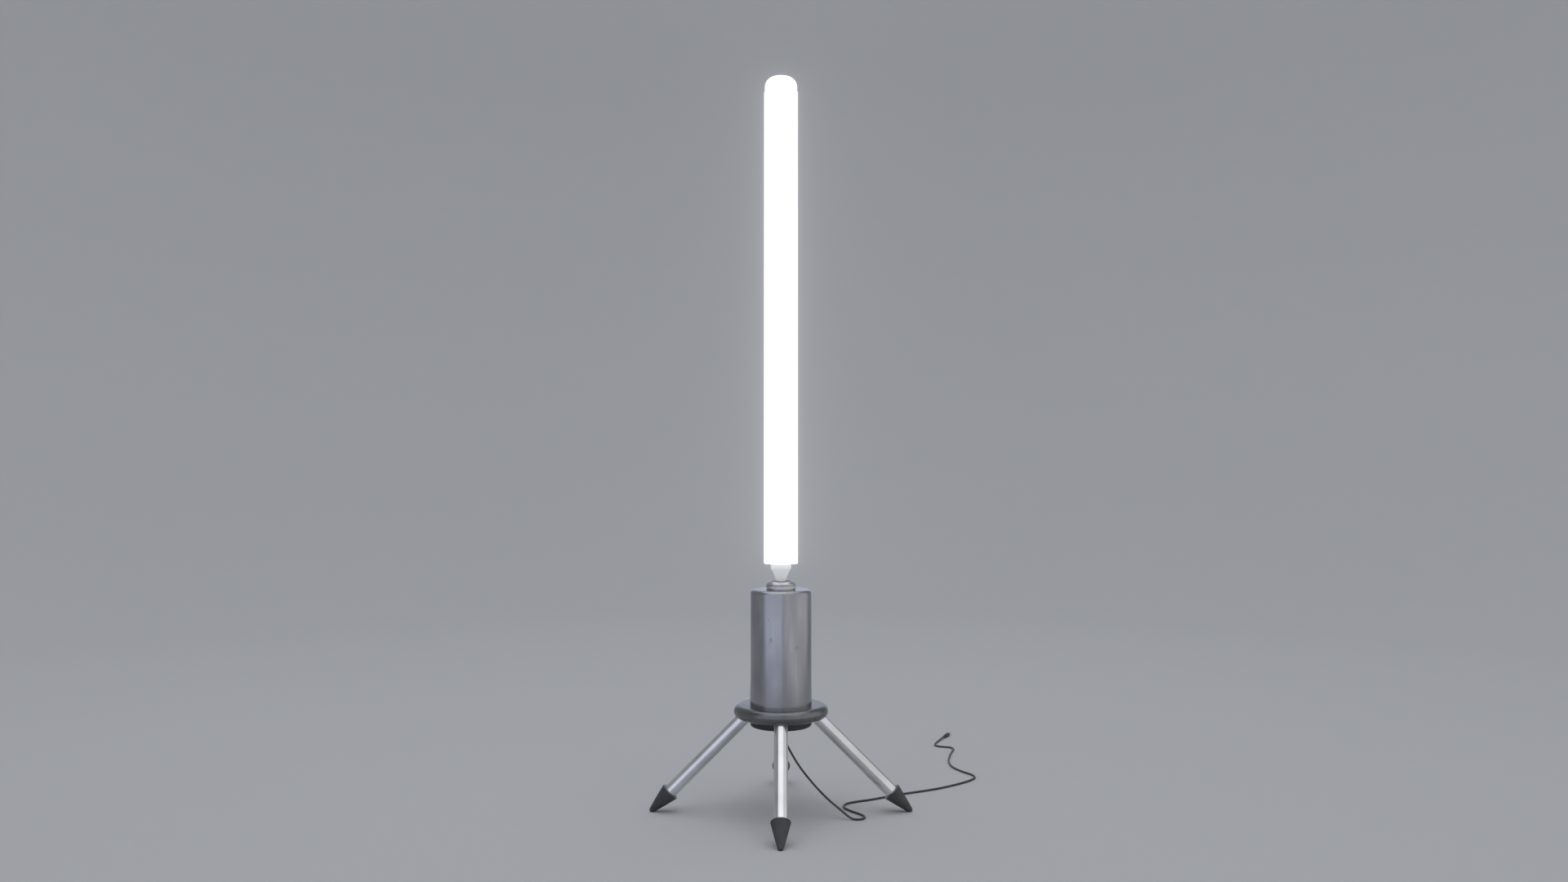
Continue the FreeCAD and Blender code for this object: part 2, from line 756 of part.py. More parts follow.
PLATE_LOW = "tube_bottom + 1"
PLATE_HIGH = "tube_bottom + 5"
TUBE_BORE = "tube_radius - tube_wall"
FOOT_HIGH = "tube_bottom + 20"
SPINE_LOW = "tube_bottom + 16"
SPINE_HIGH = "tube_top - 14"
END_SCREW_CIRCLE = "15.5"
END_SCREW_AZIMUTHS = [30, 150, 270]
FUNNEL_WALL = "1.6"
SEAL_HEIGHT = "tube_top - 4"
SEAL_WIRE = "0.5"


def make_diffuser_tube():
    keep("diffuser_tube", tubular("diffuser_tube", "tube_radius", TUBE_BORE, "tube_bottom", "tube_top"))


def make_diffuser_dome():
    """The domed cap, a step narrower than the tube, with a grooved spigot inside the tube's end."""
    wall = "1.8"
    spigot = f"{TUBE_BORE} - slip"
    inner = f"dome_radius - {wall} - 0.6"
    crown = "1.3"
    corners = [
        (inner, "tube_top - 10"),
        (spigot, "tube_top - 10"),
        (spigot, f"{SEAL_HEIGHT} - 0.8"),
        (f"{spigot} - 1", f"{SEAL_HEIGHT} - 0.8"),
        (f"{spigot} - 1", f"{SEAL_HEIGHT} + 0.8"),
        (spigot, f"{SEAL_HEIGHT} + 0.8"),
        (spigot, "tube_top"),
        ("dome_radius", "tube_top"),
        ("dome_radius", f"dome_top - {crown}"),
        ("0", "dome_top"),
        ("0", f"dome_top - {wall}"),
        (inner, f"dome_top - {crown} - {wall}"),
    ]
    rounds = [
        ("dome_radius", f"dome_top - {crown}", "dome_round"),
        (inner, f"dome_top - {crown} - {wall}", f"dome_round - {wall}"),
    ]
    keep("diffuser_dome", turned("diffuser_dome", corners, rounds))


def make_dome_seal():
    seal = doc.addObject("Part::Torus", "dome_seal")
    bind(seal, Radius1=f"{TUBE_BORE} - slip - {SEAL_WIRE}", Radius2=SEAL_WIRE)
    bind(seal, Placement=polar(0, height=SEAL_HEIGHT))
    keep("dome_seal", seal)


def end_screw_holes(prefix, bottom, length, radius):
    holes = []
    for azimuth in END_SCREW_AZIMUTHS:
        place = polar(azimuth, END_SCREW_CIRCLE, bottom)
        holes.append(rod(f"{prefix}_{azimuth}", radius, length, place))
    return holes


def make_tube_end_plate():
    """The disc that closes the tube's lower end, with a sunk screw at each of three places."""
    disc = tubular("plate_disc", f"{TUBE_BORE} - slip", "stem_radius + slip", PLATE_LOW, PLATE_HIGH)
    through = end_screw_holes("plate_hole", f"{PLATE_LOW} - 1", "7", f"{SMALL_SCREW} + slip")
    sunk = end_screw_holes("plate_sink", f"{PLATE_LOW} - 1", "3", f"{SMALL_SCREW} * {HEAD_WIDTH} + 0.2")
    keep("tube_end_plate", cut("tube_end_plate", disc, *through, *sunk))


def make_end_screws():
    screws = []
    for azimuth in END_SCREW_AZIMUTHS:
        place = polar(azimuth, END_SCREW_CIRCLE, f"{PLATE_LOW} + 2")
        screws.append(cap_screw(f"end_screw_{azimuth}", SMALL_SCREW, "9", place))
    keep("end_screws", group("end_screws", screws))


def make_neck_funnel():
    """The white neck that narrows from the end plate down to the stem."""
    corners = [
        ("stem_radius + slip", "tube_bottom - 21.6"),
        ("funnel_tip", "tube_bottom - 21.6"),
        ("funnel_radius - 3", "tube_bottom - 11"),
        ("funnel_radius", "tube_bottom - 6"),
        ("funnel_radius", PLATE_LOW),
        (f"funnel_radius - {FUNNEL_WALL}", PLATE_LOW),
        (f"funnel_radius - {FUNNEL_WALL}", "tube_bottom - 5.4"),
        (f"funnel_radius - 3 - {FUNNEL_WALL}", "tube_bottom - 10.2"),
        ("stem_radius + slip", "tube_bottom - 18"),
    ]
    keep("neck_funnel", turned("neck_funnel", corners, [("funnel_radius", "tube_bottom - 6", "3")]))


def make_lamp_stem():
    """The hollow brass stem: a shoulder under the end plate and a thread above it for its nut."""
    corners = [
        ("3", "stem_bottom"),
        ("stem_radius", "stem_bottom"),
        ("stem_radius", f"{PLATE_LOW} - 1.5"),
        ("stem_radius + 2", f"{PLATE_LOW} - 1.5"),
        ("stem_radius + 2", PLATE_LOW),
        ("stem_radius", PLATE_LOW),
        ("stem_radius", f"{PLATE_HIGH} + 5"),
        ("3", f"{PLATE_HIGH} + 5"),
    ]
    keep("lamp_stem", turned("lamp_stem", corners))


def make_stem_insulator():
    insulator = tubular("stem_insulator", "2.95", "1.25", "stem_bottom - 0.5", f"{PLATE_HIGH} + 6")
    keep("stem_insulator", insulator)


def make_stem_pin():
    """The centre pin, stopping just short of the socket's contact."""
    place = polar(0, height=f"{SLEEVE_BOTTOM} + 1 + free")
    keep("stem_pin", rod("stem_pin", "1.2", f"{PLATE_HIGH} + 8 - ({SLEEVE_BOTTOM} + 1 + free)", place))


def make_stem_nut():
    hexagon = doc.addObject("Part::Prism", "stem_nut_blank")
    hexagon.Polygon = 6
    bind(hexagon, Circumradius="8", Height="3.5", Placement=polar(0, height=PLATE_HIGH))
    bore = rod("stem_nut_bore", "stem_radius + slip", "6", polar(0, height=f"{PLATE_HIGH} - 1"))
    keep("stem_nut", cut("stem_nut", hexagon, bore))


def make_led_spine():
    """The square aluminium tube that carries the strips and takes their heat."""
    half = "spine_width / 2"
    core = "spine_width / 2 - 2"
    outer = block("spine_outer", (f"-{half}", f"-{half}", SPINE_LOW), (half, half, SPINE_HIGH))
    low = (f"-({core})", f"-({core})", f"{SPINE_LOW} - 1")
    hollow = block("spine_hollow", low, (core, core, f"{SPINE_HIGH} + 1"))
    keep("led_spine", cut("led_spine", outer, hollow))


def spine_recess(name, low, high):
    half = "spine_width / 2 + slip / 2"
    return block(name, (f"-({half})", f"-({half})", low), (half, half, high))


def make_spine_foot():
    """The cup on the end plate that holds the spine's lower end over the stem's nut."""
    corners = [
        ("3", SPINE_LOW + " - 3"),
        ("12", SPINE_LOW + " - 3"),
        ("12", PLATE_HIGH),
        (f"{TUBE_BORE} - slip", PLATE_HIGH),
        (f"{TUBE_BORE} - slip", FOOT_HIGH),
        ("3", FOOT_HIGH),
    ]
    cup = turned("spine_foot_cup", corners)
    recess = spine_recess("spine_foot_recess", SPINE_LOW, f"{FOOT_HIGH} + 1")
    holes = end_screw_holes("spine_foot_hole", f"{PLATE_HIGH} - 1", "10", f"{SMALL_SCREW} + slip")
    keep("spine_foot", cut("spine_foot", cup, recess, *holes))


def make_spine_head():
    """The disc that centres the spine's upper end in the tube."""
    disc = rod("spine_head_disc", f"{TUBE_BORE} - slip", "7", polar(0, height=f"{SPINE_HIGH} - 4"))
    recess = spine_recess("spine_head_recess", f"{SPINE_HIGH} - 5", SPINE_HIGH)
    keep("spine_head", cut("spine_head", disc, recess))


STRIP_THICKNESS = "1"
CHIP_HEIGHT = "0.9"


def make_led_strip(side, azimuth):
    face = "spine_width / 2"
    low = (face, "-strip_width / 2", f"{FOOT_HIGH} + 0.5")
    high = (f"{face} + {STRIP_THICKNESS}", "strip_width / 2", f"{SPINE_HIGH} - 4.5")
    keep(f"led_strip_{side}", block(f"led_strip_{side}", low, high, azimuth))


def make_led_chips():
    """Evenly spaced chips on all four strips."""
    chips = []
    face = f"spine_width / 2 + {STRIP_THICKNESS}"
    first = f"({FOOT_HIGH} + 12)"
    pitch = f"(({SPINE_HIGH} - 4.5 - 12 - {first}) / {CHIPS_PER_STRIP - 1})"
    for side, azimuth in AZIMUTHS.items():
        for number in range(CHIPS_PER_STRIP):
            middle = f"{first} + {number} * {pitch}"
            low = (face, "-chip_width / 2", f"{middle} - chip_width / 2")
            high = (f"{face} + {CHIP_HEIGHT}", "chip_width / 2", f"{middle} + chip_width / 2")
            chips.append(block(f"chip_{side}_{number}", low, high, azimuth))
    keep("led_chips", group("led_chips", chips))


# ---------------------------------------------------------------- push button


BEZEL_RIM = "2.2"
LIP_BACK = "-1.4"
BUTTON_BACK = "-3"
BUTTON_PROUD = "1"
SWITCH_FACE = "can_radius - 12"


def make_button_bezel():
    """A flanged bush through the canister's wall, with a lip inside that keeps the button in."""
    bore = "button_radius + run"
    wide = "button_radius + 0.5 + free"
    back = f"({SWITCH_FACE}) - ({BEZEL_SEAT})"
    corners = [
        (wide, back),
        ("bezel_radius - 2", back),
        ("bezel_radius - 2", "0"),
        ("bezel_radius", "0"),
        ("bezel_radius", BEZEL_RIM),
        (bore, BEZEL_RIM),
        (bore, LIP_BACK),
        (wide, LIP_BACK),
    ]
    bezel = turned("button_bezel", corners, [("bezel_radius", BEZEL_RIM, "0.8")])
    keep("button_bezel", bind(bezel, Placement=facing_back(BEZEL_SEAT)))


def make_power_button():
    """The cap, with a flange behind the bezel's lip and a plunger inside the spring."""
    front = f"{BEZEL_RIM} + {BUTTON_PROUD}"
    flange = f"{LIP_BACK} - free"
    corners = [
        ("0", "-8"),
        ("1.2", "-8"),
        ("1.2", BUTTON_BACK),
        ("button_radius + 0.5", BUTTON_BACK),
        ("button_radius + 0.5", flange),
        ("button_radius", flange),
        ("button_radius", front),
        ("0", front),
    ]
    button = turned("power_button", corners, [("button_radius", front, "0.6")])
    keep("power_button", bind(button, Placement=facing_back(BEZEL_SEAT)))


SPRING_RADIUS = "2.7"
SPRING_WIRE = "0.4"
SPRING_TURNS = "4"


def make_button_spring():
    """A small coil between the switch's face and the button."""
    body = doc.addObject("PartDesign::Body", "button_spring")
    sketch = body.newObject("Sketcher::SketchObject", "button_spring_wire")
    sketch.AttachmentSupport = [(origin_plane(body, "XZ_Plane"), "")]
    sketch.MapMode = "FlatFace"
    centre = FreeCAD.Vector(value(SPRING_RADIUS), 0, 0)
    sketch.addGeometry(Part.Circle(centre, FreeCAD.Vector(0, 0, 1), value(SPRING_WIRE)), False)
    sketch.addConstraint(Sketcher.Constraint("PointOnObject", 0, 3, -1))
    across = sketch.addConstraint(Sketcher.Constraint("DistanceX", -1, 1, 0, 3, value(SPRING_RADIUS)))
    wire = sketch.addConstraint(Sketcher.Constraint("Radius", 0, value(SPRING_WIRE)))
    sketch.setExpression(f"Constraints[{across}]", bound(SPRING_RADIUS))
    sketch.setExpression(f"Constraints[{wire}]", bound(SPRING_WIRE))
    back = f"({SWITCH_FACE}) - ({BEZEL_SEAT}) + {SPRING_WIRE}"
    rise = f"({BUTTON_BACK} - {SPRING_WIRE} - ({back}))"
    coil = body.newObject("PartDesign::AdditiveHelix", "button_spring_coil")
    coil.Profile = sketch
    coil.ReferenceAxis = (sketch, ["V_Axis"])
    coil.Mode = "pitch-height-angle"
    bind(coil, Height=rise, Pitch=f"{rise} / {SPRING_TURNS}")
    keep("button_spring", bind(body, Placement=facing_back(f"{BEZEL_SEAT} + {back}")))


def make_switch_body():
    """The switch behind the bezel, with a well for the plunger."""
    low = ("-6.5", f"{SWITCH_FACE} - 9", "button_height - 6.5")
    body = block("switch_blank", low, ("6.5", SWITCH_FACE, "button_height + 6.5"))
    well = rod("switch_well", "1.2 + free", "4", facing_back(f"{SWITCH_FACE} - 3.5"))
    keep("switch_body", cut("switch_body", body, well))


# ---------------------------------------------------------------- lead, strain relief and plug


def make_strain_relief():
    """A flanged bush through the hub cover's floor, with a tapered tail round the lead."""
    bore = "cord_radius + slip / 2"
    corners = [
        (bore, "relief_bottom"),
        ("cord_radius + 0.7", "relief_bottom"),
        (GLAND_RADIUS, "hub_bottom - 2"),
        ("4.6", "hub_bottom - 1.6"),
        ("4.6", "hub_bottom"),
        (GLAND_RADIUS, "hub_bottom"),
        (GLAND_RADIUS, "hub_bottom + hub_wall + 3"),
        (bore, "hub_bottom + hub_wall + 3"),
    ]
    relief = turned("strain_relief", corners)
    keep("strain_relief", bind(relief, Placement=over_lead()))


def make_gland_nut():
    floor = "hub_bottom + hub_wall"
    hexagon = doc.addObject("Part::Prism", "gland_nut_blank")
    hexagon.Polygon = 6
    bind(hexagon, Circumradius="6", Height="2.4", Placement=over_lead(floor))
    bore = rod("gland_nut_bore", f"{GLAND_RADIUS} + slip / 2", "4", over_lead(f"{floor} - 1"))
    keep("gland_nut", cut("gland_nut", hexagon, bore))


def make_cord_inner():
    """The lead inside the stand, from the strain relief's tail up to the terminal block."""
    length = f"{BOARD_LOW} - relief_bottom"
    keep("cord_inner", rod("cord_inner", "cord_radius", length, over_lead("relief_bottom")))


def rounded_path(points):
    """Straight runs joined by tangent arcs, each as large as its two runs allow."""
    edges = []
    radii = []
    start = points[0]
    for before, corner, after in zip(points, points[1:], points[2:]):
        come = corner - before
        leave = after - corner
        half_turn = come.getAngle(leave) / 2
        reach = ARC_SHARE * min(come.Length, leave.Length)
        radius = reach / math.tan(half_turn)
        come.normalize()
        leave.normalize()
        arc_start = corner - come * reach
        arc_end = corner + leave * reach
        inward = (leave - come).normalize()
        middle = corner + inward * (radius / math.cos(half_turn) - radius)
        edges.append(Part.LineSegment(start, arc_start).toShape())
        edges.append(Part.Arc(arc_start, middle, arc_end).toShape())
        radii.append(radius)
        start = arc_end
    edges.append(Part.LineSegment(start, points[-1]).toShape())
    return Part.Wire(edges), radii


def make_power_cord():
    points = [FreeCAD.Vector(*point) for point in CORD_ROUTE]
    path, radii = rounded_path(points)
    radius = value("cord_radius")
    section = Part.Circle(points[0], points[1] - points[0], radius).toShape()
    tube = path.makePipeShell([Part.Wire([section])], True, False)
    wanted = math.pi * radius**2 * path.Length
    if abs(tube.Volume / wanted - 1) > 0.01:
        raise RuntimeError(f"the lead's volume is {tube.Volume}, not {wanted}")
    print("lead: length", round(path.Length, 1), "radii", [round(size, 1) for size in radii])
    cord = doc.addObject("Part::Feature", "power_cord")
    cord.Shape = tube
    keep("power_cord", cord)


GRIP_LENGTH = "22"
BOOT_LENGTH = "8.5"


def make_plug_grip():
    """The moulded plug: a tapered boot with three grooves, then a straight grip."""
    corners = [("0", "0"), ("cord_radius + 0.5", "0")]
    for groove in range(3):
        start = 2.0 + 2.2 * groove
        step = 0.15 * groove
        corners.append((f"cord_radius + {0.65 + step:.2f}", f"{start:.1f}"))
        corners.append((f"cord_radius + {0.35 + step:.2f}", f"{start + 0.3:.1f}"))
        corners.append((f"cord_radius + {0.35 + step:.2f}", f"{start + 1.0:.1f}"))
        corners.append((f"cord_radius + {0.75 + step:.2f}", f"{start + 1.3:.1f}"))
    corners.append(("plug_radius", f"{BOOT_LENGTH} + 1"))
    corners.append(("plug_radius", GRIP_LENGTH))
    corners.append(("0", GRIP_LENGTH))
    grip = turned("plug_grip", corners, [("plug_radius", GRIP_LENGTH, "0.6")])
    keep("plug_grip", bind(grip, Placement=along_plug("0")))


def make_plug_barrel():
    """The plug's metal sleeve."""
    barrel = tubular("plug_barrel", "barrel_radius", "barrel_radius - 0.45", "0", "barrel_length")
    keep("plug_barrel", bind(barrel, Placement=along_plug(GRIP_LENGTH)))


def make_plug_core():
    """The insulated liner inside the sleeve, bored for the jack's centre pin."""
    core = tubular("plug_core", "barrel_radius - 0.5", "0.675", "0", "barrel_length - 0.3")
    keep("plug_core", bind(core, Placement=along_plug(GRIP_LENGTH)))


# ---------------------------------------------------------------- assembly


def make_stand():
    for side, azimuth in AZIMUTHS.items():
        make_leg(side, azimuth)
        make_foot(side, azimuth)
    make_leg_studs()
    make_leg_ring()
    make_hub_cover()
    make_hub_screws()
    make_tie_bolts()


def make_canister():
    make_canister_shell()
    make_ballast_weight()
    make_driver_board()
    make_board_brackets()
    make_board_screws()
    make_transformer()
    make_capacitors()
    make_heat_sink()
    make_terminal_block()
    make_socket_wires()
    make_button_bezel()
    make_power_button()
    make_button_spring()
    make_switch_body()


def make_socket():
    make_socket_body()
    make_socket_sleeve()
    make_socket_contact()
    make_socket_screws()
    make_ring_washer()
    make_snap_ring()
    make_lock_ring()


def make_light_tube():
    make_diffuser_tube()
    make_diffuser_dome()
    make_dome_seal()
    make_tube_end_plate()
    make_end_screws()
    make_neck_funnel()
    make_lamp_stem()
    make_stem_insulator()
    make_stem_pin()
    make_stem_nut()
    make_led_spine()
    make_spine_foot()
    make_spine_head()
    for side, azimuth in AZIMUTHS.items():
        make_led_strip(side, azimuth)
    make_led_chips()


def make_lead():
    make_strain_relief()
    make_gland_nut()
    make_cord_inner()
    make_power_cord()
    make_plug_grip()
    make_plug_barrel()
    make_plug_core()


def check_document():
    for item in doc.Objects:
        if "Invalid" in item.State or "Error" in item.State:
            raise RuntimeError(f"{item.Name} failed: {item.State}")
    for label, item in subparts.items():
        shape = item.Shape
        if shape.isNull() or not shape.isValid() or not shape.Solids:
            raise RuntimeError(f"{label} has no valid solid")


def write_parts():
    os.makedirs("parts", exist_ok=True)
    for label, item in subparts.items():
        item.Shape.exportStep(f"parts/{label}.step")
    print(len(subparts), "sub-parts written")


fill_sheet()
make_stand()
make_canister()
make_socket()
make_light_tube()
make_lead()
doc.recompute()
check_document()
write_parts()
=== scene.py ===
import math

import bmesh
import bpy
from mathutils import Matrix, Vector


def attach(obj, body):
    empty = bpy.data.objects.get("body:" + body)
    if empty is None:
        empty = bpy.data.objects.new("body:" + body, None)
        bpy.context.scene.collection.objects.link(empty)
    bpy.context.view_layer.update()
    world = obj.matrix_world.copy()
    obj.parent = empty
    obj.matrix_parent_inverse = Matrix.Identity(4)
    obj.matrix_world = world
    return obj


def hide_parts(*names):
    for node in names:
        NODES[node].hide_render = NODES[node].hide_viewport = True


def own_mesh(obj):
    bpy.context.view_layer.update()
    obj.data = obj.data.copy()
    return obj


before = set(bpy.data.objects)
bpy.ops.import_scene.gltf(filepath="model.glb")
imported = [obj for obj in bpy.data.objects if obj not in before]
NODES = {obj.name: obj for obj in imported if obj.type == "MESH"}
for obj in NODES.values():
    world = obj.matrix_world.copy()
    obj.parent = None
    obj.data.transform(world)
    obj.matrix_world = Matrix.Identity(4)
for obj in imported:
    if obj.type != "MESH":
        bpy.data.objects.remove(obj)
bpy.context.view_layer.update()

# ---------------------------------------------------------------- camera

SENSOR = 36.0  # millimetres across
LENS = 29.0625  # millimetres
PITCH_UP = 1.22  # degrees above the horizon
CAMERA_PLACE = (0.0037, -1.55, 0.418)

camera_data = bpy.data.cameras.new("camera")
camera_data.sensor_width = SENSOR
camera_data.lens = LENS
camera_data.clip_start = 0.01
camera_data.clip_end = 200.0
camera = bpy.data.objects.new("camera", camera_data)
camera.location = CAMERA_PLACE
camera.rotation_euler = (math.radians(90.0 + PITCH_UP), 0.0, 0.0)
bpy.context.scene.collection.objects.link(camera)
bpy.context.scene.camera = camera

# ---------------------------------------------------------------- lead

CORD_DIAMETER = 0.0026
CORD_ROUTE = [
    (0.0040, -0.0018, 0.0940),
    (0.0040, -0.0018, 0.0880),
    (0.0098, -0.0044, 0.0765),
    (0.0218, -0.0098, 0.0570),
    (0.0384, -0.0172, 0.0380),
    (0.0556, -0.0250, 0.0216),
    (0.0725, -0.0325, 0.0095),
    (0.0835, -0.0374, 0.0013),
    (0.0920, -0.0404, 0.0013),
    (0.0995, -0.0355, 0.0013),
    (0.1005, -0.0263, 0.0013),
    (0.0950, -0.0160, 0.0013),
    (0.0845, -0.0025, 0.0013),
    (0.0760, 0.0140, 0.0013),
    (0.0790, 0.0290, 0.0013),
    (0.0910, 0.0395, 0.0013),
    (0.1110, 0.0485, 0.0013),
    (0.1350, 0.0650, 0.0013),
    (0.1570, 0.0790, 0.0013),
    (0.1810, 0.0915, 0.0013),
    (0.2060, 0.1060, 0.0013),
    (0.2280, 0.1240, 0.0013),
    (0.2460, 0.1405, 0.0013),
    (0.2610, 0.1600, 0.0013),
    (0.2610, 0.1770, 0.0013),
    (0.2470, 0.1990, 0.0013),
    (0.2370, 0.2260, 0.0013),
    (0.2370, 0.2580, 0.0013),
    (0.2430, 0.2900, 0.0013),
    (0.2500, 0.3185, 0.0013),
    (0.2565, 0.3390, 0.0013),
    (0.2505, 0.3495, 0.0013),
    (0.2380, 0.3520, 0.0013),
    (0.2300, 0.3605, 0.0013),
    (0.2320, 0.3740, 0.0013),
    (0.2390, 0.3910, 0.0013),
    (0.2462, 0.4056, 0.0027),
    (0.2506, 0.4150, 0.0027),
]


def make_cord():
    curve = bpy.data.curves.new("lead", "CURVE")
    curve.dimensions = "3D"
    curve.bevel_depth = 1.0
    curve.bevel_resolution = 6
    curve.resolution_u = 10
    spline = curve.splines.new("NURBS")
    spline.points.add(len(CORD_ROUTE) - 1)
    for point, place in zip(spline.points, CORD_ROUTE):
        point.co = (*place, 1.0)
        point.radius = CORD_DIAMETER / 2
    spline.order_u = 3
    spline.use_endpoint_u = True
    cord = bpy.data.objects.new("lead", curve)
    bpy.context.scene.collection.objects.link(cord)
    return cord


cord = make_cord()
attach(cord, "stand")
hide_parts("power_cord")

# ---------------------------------------------------------------- material tools


class Paint:
    """A Principled material and the nodes that vary it."""

    def __init__(self, name, **sockets):
        self.material = bpy.data.materials.new(name)
        self.material.use_nodes = True
        self.tree = self.material.node_tree
        self.shader = self.tree.nodes["Principled BSDF"]
        self.set(**sockets)

    def set(self, **sockets):
        for key, value in sockets.items():
            self.shader.inputs[key.replace("_", " ")].default_value = value

    def node(self, kind, **values):
        node = self.tree.nodes.new(kind)
        for key, value in values.items():
            node.inputs[key.replace("_", " ")].default_value = value
        return node

    def link(self, source, target):
        self.tree.links.new(source, target)

    def place(self, stretch=(1.0, 1.0, 1.0)):
        coordinates = self.node("ShaderNodeTexCoord")
        mapping = self.node("ShaderNodeMapping")
        mapping.inputs["Scale"].default_value = stretch
        self.link(coordinates.outputs["Object"], mapping.inputs["Vector"])
        return mapping.outputs["Vector"]

    def noise(self, scale, stretch=(1.0, 1.0, 1.0), detail=4.0):
        texture = self.node("ShaderNodeTexNoise", Scale=scale, Detail=detail)
        self.link(self.place(stretch), texture.inputs["Vector"])
        return texture.outputs["Fac"]

    def height(self, low, high):
        """0 at one height of the object and 1 at another, in metres."""
        parts = self.node("ShaderNodeSeparateXYZ")
        self.link(self.place(), parts.inputs["Vector"])
        return self.range(parts.outputs["Z"], low, high, 0.0, 1.0)

    def range(self, source, low, high, to_low, to_high):
        node = self.node("ShaderNodeMapRange")
        node.inputs["From Min"].default_value = low
        node.inputs["From Max"].default_value = high
        node.inputs["To Min"].default_value = to_low
        node.inputs["To Max"].default_value = to_high
        self.link(source, node.inputs["Value"])
        return node.outputs["Result"]

    def between(self, factor, first, second):
        """A colour that runs from the first to the second as the factor goes from 0 to 1."""
        mix = self.tree.nodes.new("ShaderNodeMix")
        mix.data_type = "RGBA"
        self.link(factor, mix.inputs["Factor"])
        for socket, colour in ((mix.inputs[6], first), (mix.inputs[7], second)):
            if isinstance(colour, bpy.types.NodeSocket):
                self.link(colour, socket)
            else:
                socket.default_value = (*colour, 1.0)
        return mix.outputs[2]

    def colour(self, source):
        self.link(source, self.shader.inputs["Base Color"])

    def roughness(self, source, low, high, rough_low, rough_high):
        self.link(self.range(source, low, high, rough_low, rough_high), self.shader.inputs["Roughness"])

    def bump(self, *layers):
        """Relief from (height source, depth in metres) layers."""
        normal = None
        for source, depth in layers:
            node = self.node("ShaderNodeBump", Distance=depth)
            self.link(source, node.inputs["Height"])
            if normal:
                self.link(normal, node.inputs["Normal"])
            normal = node.outputs["Normal"]
        self.link(normal, self.shader.inputs["Normal"])


def dress(material, *names):
    """Gives a material to CAD nodes."""
    for name in names:
        slots = NODES[name].data.materials
        slots.clear()
        slots.append(material)


# ---------------------------------------------------------------- materials


def opal(name, strength):
    paint = Paint(name, Roughness=0.34, Emission_Color=(1.0, 1.0, 1.0, 1.0), Emission_Strength=strength)
    cloud = paint.noise(9.0, stretch=(1.0, 1.0, 0.3))
    mottle = paint.range(cloud, 0.35, 0.65, 0, 1)
    paint.colour(paint.between(mottle, (0.86, 0.87, 0.88), (0.93, 0.93, 0.93)))
    paint.roughness(paint.noise(60.0), 0.3, 0.7, 0.30, 0.38)
    paint.bump((paint.noise(900.0, detail=2.0), 0.00002))
    return paint.material


def moulded(name, dark, light, rough, grain=700.0):
    """A moulded plastic or rubber with a fine grain."""
    paint = Paint(name)
    paint.colour(paint.between(paint.range(paint.noise(45.0), 0.35, 0.65, 0, 1), dark, light))
    paint.roughness(paint.noise(110.0), 0.3, 0.7, rough - 0.05, rough + 0.06)
    paint.bump((paint.noise(grain, detail=3.0), 0.00003))
    return paint.material


NECK_LOW = 0.281
NECK_HIGH = 0.300


def neck_plastic():
    """Pale translucent plastic, with the tube's light painted in: a faint emission as painted glow and a
    colour painted lighter towards the top, where the tube above lights it.
    """
    # Painted glow: the faint emission stands in for the tube's light coming through the plastic.
    paint = Paint(
        "neck_plastic", Roughness=0.42, Emission_Color=(0.93, 0.95, 0.97, 1.0), Emission_Strength=0.36
    )
    # Painted light: the base colour runs from darker at the bottom to lighter at the top, as if lit by the
    # tube above.
    rise = paint.height(NECK_LOW, NECK_HIGH)
    painted_top_light = paint.between(rise, (0.50, 0.52, 0.49), (0.72, 0.73, 0.75))
    paint.colour(paint.between(paint.range(paint.noise(120.0), 0.3, 0.7, 0, 1), painted_top_light, (0.66, 0.67, 0.67)))
    rings = paint.noise(1.0, stretch=(1.0, 1.0, 1400.0), detail=1.0)
    paint.bump((rings, 0.00008), (paint.noise(800.0), 0.00002))
    return paint.material


def metal(name, dark, light, rough, brushed=(1.0, 1.0, 1.0), scale=60.0):
    """A metal with fine brushing, faint smudges and a slightly uneven colour."""
    paint = Paint(name, Metallic=1.0)
    grain = paint.noise(scale, stretch=brushed, detail=6.0)
    smudge = paint.noise(22.0, detail=3.0)
    paint.colour(paint.between(paint.range(smudge, 0.35, 0.65, 0, 1), dark, light))
    low, high = rough
    mixed = paint.node("ShaderNodeMath")
    mixed.operation = "ADD"
    paint.link(grain, mixed.inputs[0])
    paint.link(smudge, mixed.inputs[1])
    paint.roughness(mixed.outputs[0], 0.7, 1.3, low, high)
    paint.bump((grain, 0.000004))
    return paint.material


def canister_steel():
    """Dark brushed steel: fine upright brushing, cloudy tarnish, darker streaks and a few scuffs."""
    paint = Paint("canister_steel", Metallic=1.0, Anisotropic=0.35)
    brush = paint.noise(90.0, stretch=(6.0, 6.0, 0.12), detail=8.0)
    cloud = paint.noise(26.0, stretch=(1.0, 1.0, 0.45), detail=4.0)
    streak = paint.noise(34.0, stretch=(1.0, 1.0, 0.10), detail=3.0)
    scuff = paint.noise(70.0, stretch=(1.0, 1.0, 0.8), detail=5.0)
    steel = paint.between(paint.range(brush, 0.3, 0.7, 0, 1), (0.345, 0.35, 0.37), (0.40, 0.405, 0.425))
    tarnish = paint.between(paint.range(cloud, 0.42, 0.66, 0, 1), steel, (0.30, 0.30, 0.325))
    streaked = paint.between(paint.range(streak, 0.56, 0.72, 0, 0.7), tarnish, (0.25, 0.25, 0.27))
    paint.colour(paint.between(paint.range(scuff, 0.68, 0.76, 0, 0.8), streaked, (0.16, 0.16, 0.19)))
    paint.roughness(cloud, 0.3, 0.7, 0.19, 0.27)
    paint.bump((brush, 0.000006), (scuff, 0.00001))
    return paint.material


